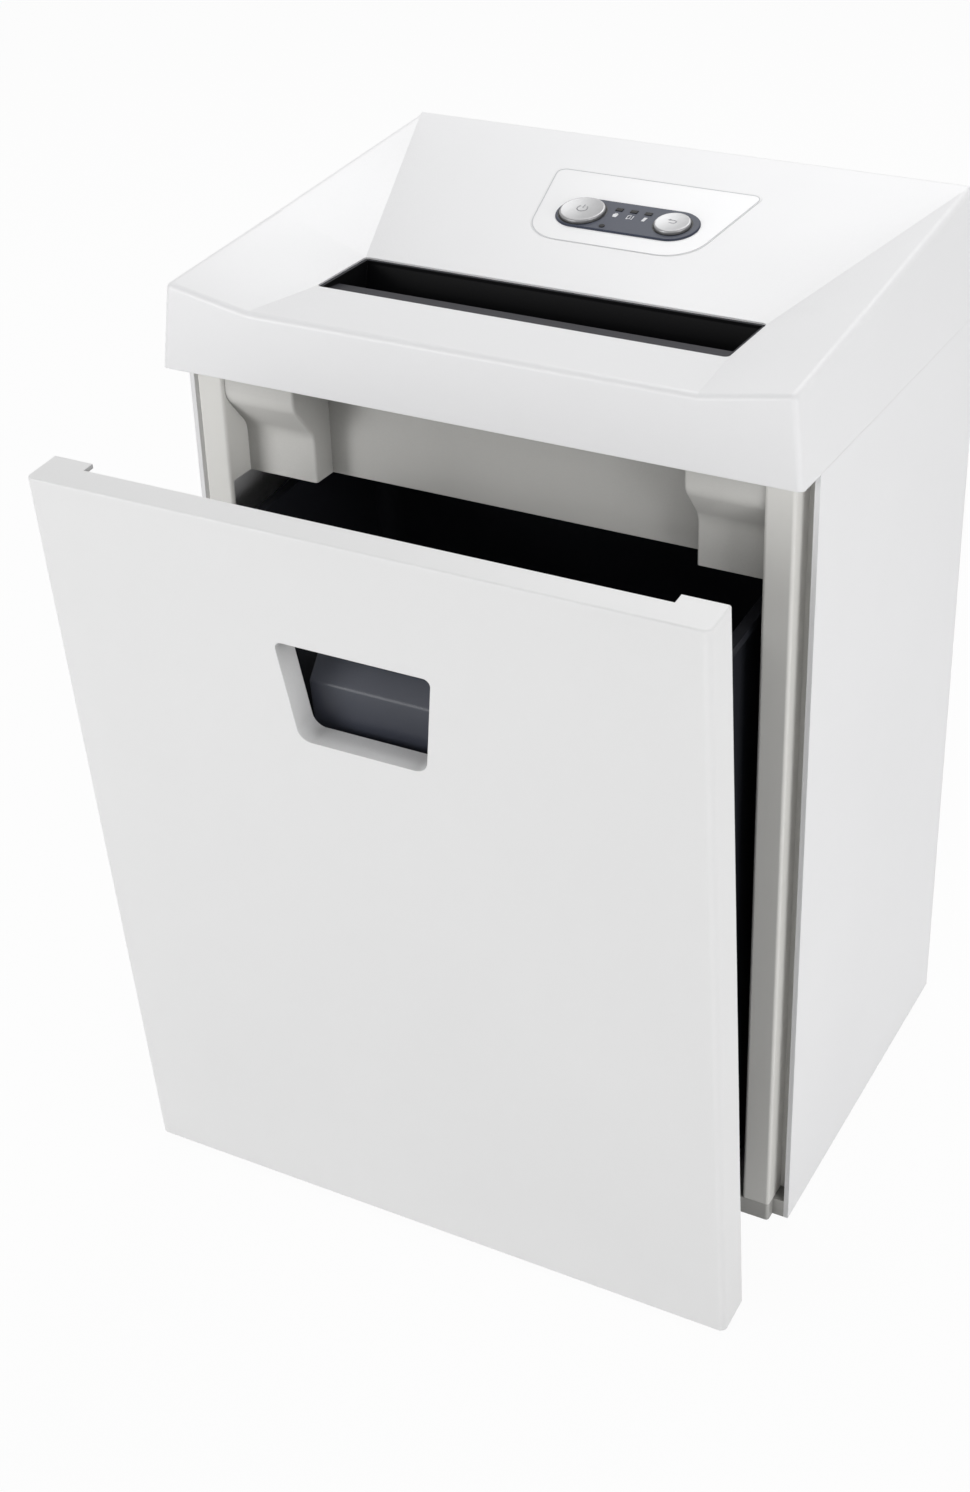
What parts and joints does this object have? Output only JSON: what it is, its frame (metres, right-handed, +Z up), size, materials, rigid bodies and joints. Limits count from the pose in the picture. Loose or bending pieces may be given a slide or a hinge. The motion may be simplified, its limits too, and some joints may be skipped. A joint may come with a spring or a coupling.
{
  "type": "paper shredder",
  "caption": "Free-standing paper shredder: cutting head on a cabinet, with a pull-out bin that tips forward behind a front panel with a finger window.",
  "frame": {"origin": "on the floor under the middle of the whole, with the bin pulled out as in the picture", "axes": "+Z up, the front faces -Y, +X to the right seen from the front"},
  "size_m": [0.386, 0.3984, 0.5652],
  "materials": {
    "white_shell": "satin moulded",
    "frame_grey": "satin moulded",
    "dark_plastic": "fine grained",
    "bin_plastic": "fine grained",
    "label_white": "printed film",
    "slate_panel": "satin",
    "silver": "satin painted",
    "lens": "clear tinted",
    "steel": "ground",
    "cutter_steel": "hardened, oiled",
    "gear_plastic": "machined",
    "bearing_bronze": "sintered",
    "motor_can": "zinc plated",
    "board": "solder mask",
    "rubber": "matt"
  },
  "bodies": {
    "cabinet": {"hood": "white_shell", "label_plate": "label_white", "control_panel": "slate_panel", "status_lens": "lens", "sensor_window": "lens", "control_board": "board", "right_side_panel": "white_shell", "left_side_panel": "white_shell", "back_panel": "white_shell", "base_plate": "frame_grey", "right_front_post": "frame_grey", "left_front_post": "frame_grey", "front_sill": "frame_grey", "inner_front_wall": "frame_grey", "right_guide_block": "frame_grey", "left_guide_block": "frame_grey", "head_tray": "frame_grey", "feed_chute": "dark_plastic", "left_cutter_plate": "steel", "right_cutter_plate": "steel", "front_tie_rod": "steel", "rear_tie_rod": "steel", "front_stripper": "dark_plastic", "rear_stripper": "dark_plastic", "gear_stud": "steel", "motor": "motor_can", "motor_bracket": "steel", "power_board": "board", "mains_inlet": "dark_plastic", "door_switch": "dark_plastic", "right_bin_rest": "steel", "left_bin_rest": "steel", "right_bin_rail": "steel", "left_bin_rail": "steel", "left_front_bearing": "bearing_bronze", "left_rear_bearing": "bearing_bronze", "right_front_bearing": "bearing_bronze", "right_rear_bearing": "bearing_bronze", "front_left_foot": "rubber", "front_right_foot": "rubber", "back_left_foot": "rubber", "back_right_foot": "rubber"},
    "bin_unit": {"waste_bin": "bin_plastic", "bin_grip": "bin_plastic", "front_panel": "white_shell", "door_magnet": "steel", "panel_screw_1": "steel", "panel_screw_2": "steel", "panel_screw_3": "steel", "panel_screw_4": "steel"},
    "carriage": {"bin_carriage": "bin_plastic"},
    "power_button_body": {"power_button": "silver"},
    "reverse_button_body": {"reverse_button": "silver"},
    "front_roller": {"front_cutter_roller": "cutter_steel", "front_sync_gear": "gear_plastic"},
    "rear_roller": {"rear_cutter_roller": "cutter_steel", "rear_sync_gear": "gear_plastic", "drive_gear": "gear_plastic"},
    "compound": {"compound_gear": "gear_plastic"},
    "motor_rotor": {"motor_pinion": "steel"}
  },
  "joints": [
    {"name": "bin_pull", "type": "slide", "parent": "cabinet", "child": "carriage", "axis": [0, 1, 0], "range_m": [0, 0.0777]},
    {"name": "bin_tilt", "type": "hinge", "parent": "carriage", "child": "bin_unit", "pos_m": [0, -0.01554, 0.022], "axis": [-1, 0, 0], "range_deg": [0, 4.95]},
    {"name": "power_button_press", "type": "slide", "parent": "cabinet", "child": "power_button_body", "axis": [0, 0.2122, -0.9772], "range_m": [0, 0.0012], "stiffness_N_per_m": 800, "springref_m": -0.0005},
    {"name": "reverse_button_press", "type": "slide", "parent": "cabinet", "child": "reverse_button_body", "axis": [0, 0.2122, -0.9772], "range_m": [0, 0.0012], "stiffness_N_per_m": 800, "springref_m": -0.0005},
    {"name": "front_roller_spin", "type": "hinge", "parent": "cabinet", "child": "front_roller", "pos_m": [0, -0.00064, 0.455], "axis": [1, 0, 0], "continuous": true},
    {"name": "rear_roller_spin", "type": "hinge", "parent": "cabinet", "child": "rear_roller", "pos_m": [0, 0.02496, 0.455], "axis": [1, 0, 0], "continuous": true},
    {"name": "compound_gear_spin", "type": "hinge", "parent": "cabinet", "child": "compound", "pos_m": [0, 0.05396, 0.46852], "axis": [1, 0, 0], "continuous": true},
    {"name": "motor_spin", "type": "hinge", "parent": "cabinet", "child": "motor_rotor", "pos_m": [0, 0.07714, 0.46231], "axis": [1, 0, 0], "continuous": true}
  ],
  "couplings": [
    {"joint": "bin_tilt", "follows": "bin_pull", "rad_per_m": 1.1119},
    {"joint": "rear_roller_spin", "follows": "front_roller_spin", "ratio": -1},
    {"joint": "compound_gear_spin", "follows": "front_roller_spin", "ratio": 3},
    {"joint": "motor_spin", "follows": "front_roller_spin", "ratio": -12}
  ]
}
